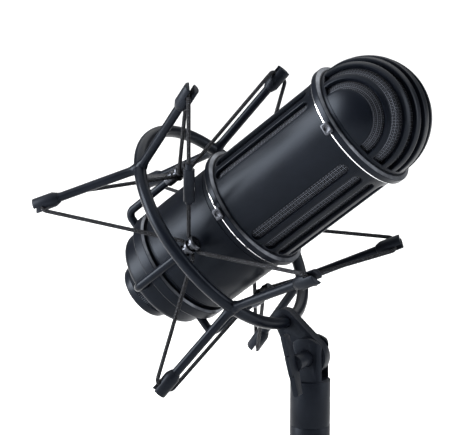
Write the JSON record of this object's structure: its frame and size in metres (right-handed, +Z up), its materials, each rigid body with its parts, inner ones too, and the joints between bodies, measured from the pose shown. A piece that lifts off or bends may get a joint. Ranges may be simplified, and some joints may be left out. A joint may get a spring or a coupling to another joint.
{
  "type": "studio condenser microphone in shock mount",
  "caption": "Large studio microphone with slotted body and arched head grille, held by elastic cords in a ring shock mount on a swivel stand adapter.",
  "frame": {"origin": "mouth of the stand thread, on the stand's axis", "axes": "+Z up the stand adapter, +X the side the microphone's head points to, Y along the swivel's hinge with -Y at the clamp lever"},
  "size_m": [0.1931, 0.1264, 0.2105],
  "materials": {
    "black_metal": "satin black paint",
    "black_coat": "satin powder coat",
    "body_black": "fine satin black",
    "black_plastic": "moulded matte",
    "dark_steel": "blackened steel",
    "trim_chrome": "polished",
    "mesh_steel": "woven wire, dark",
    "pin_brass": "plated",
    "foil_gold": "gold sputtered film",
    "board_green": "solder mask",
    "cord_black": "braided elastic cord"
  },
  "bodies": {
    "stand_adapter": {"stand_sleeve": "black_metal", "swivel_body": "black_metal", "pivot_washers": "black_plastic"},
    "clamp": {"clamp_screw": "dark_steel", "clamp_lever": "black_metal"},
    "shock_frame": {"outer_ring": "black_coat", "fork_caps": "black_plastic", "frame_arm_1": "black_coat", "frame_arm_2": "black_coat", "frame_arm_3": "black_coat", "frame_arm_4": "black_coat", "ring_bracket": "black_metal", "bracket_screw": "dark_steel"},
    "microphone": {"cradle_leg_1": "black_coat", "cradle_leg_2": "black_coat", "cradle_leg_3": "black_coat", "cradle_leg_4": "black_coat", "cord_hubs": "dark_steel", "hub_screws": "dark_steel", "cradle_cup": "body_black", "base_ring": "body_black", "base_screws": "dark_steel", "lower_body_tube": "body_black", "upper_body_tube": "body_black", "mid_collar": "body_black", "upper_collar": "body_black", "mid_trim_ring": "trim_chrome", "upper_trim_ring": "trim_chrome", "mid_clasp": "dark_steel", "upper_clasp": "dark_steel", "head_dome": "body_black", "head_mesh": "mesh_steel", "body_mesh": "mesh_steel", "connector_shell": "body_black", "connector_insert": "black_plastic", "connector_pins": "pin_brass", "chassis_plate": "dark_steel", "chassis_rails": "dark_steel", "circuit_board": "board_green", "transformer": "dark_steel", "capsule_body": "pin_brass", "capsule_diaphragms": "foil_gold", "capsule_saddle": "black_plastic", "head_cord": "cord_black", "base_cord": "cord_black", "cord_lock": "black_plastic"},
    "retaining_nut": {"retaining_ring": "body_black"}
  },
  "joints": [
    {"name": "swivel_tilt", "type": "hinge", "parent": "stand_adapter", "child": "shock_frame", "pos_m": [0, 0, 0.055], "axis": [0, 1, 0], "range_deg": [-50, 120]},
    {"name": "clamp_turn", "type": "hinge", "parent": "stand_adapter", "child": "clamp", "pos_m": [0, 0, 0.055], "axis": [0, -1, 0], "range_deg": [-60, 300]},
    {"name": "cord_float", "type": "slide", "parent": "shock_frame", "child": "microphone", "axis": [0.7902, 0, 0.6129], "range_m": [-0.003, 0.003], "stiffness_N_per_m": 5000, "springref_m": 0.0012, "deforming": ["head_cord", "base_cord"]},
    {"name": "nut_turn", "type": "hinge", "parent": "microphone", "child": "retaining_nut", "pos_m": [-0.09072, -0.00099, 0.08466], "axis": [0.7902, 0, 0.6129], "continuous": true}
  ]
}
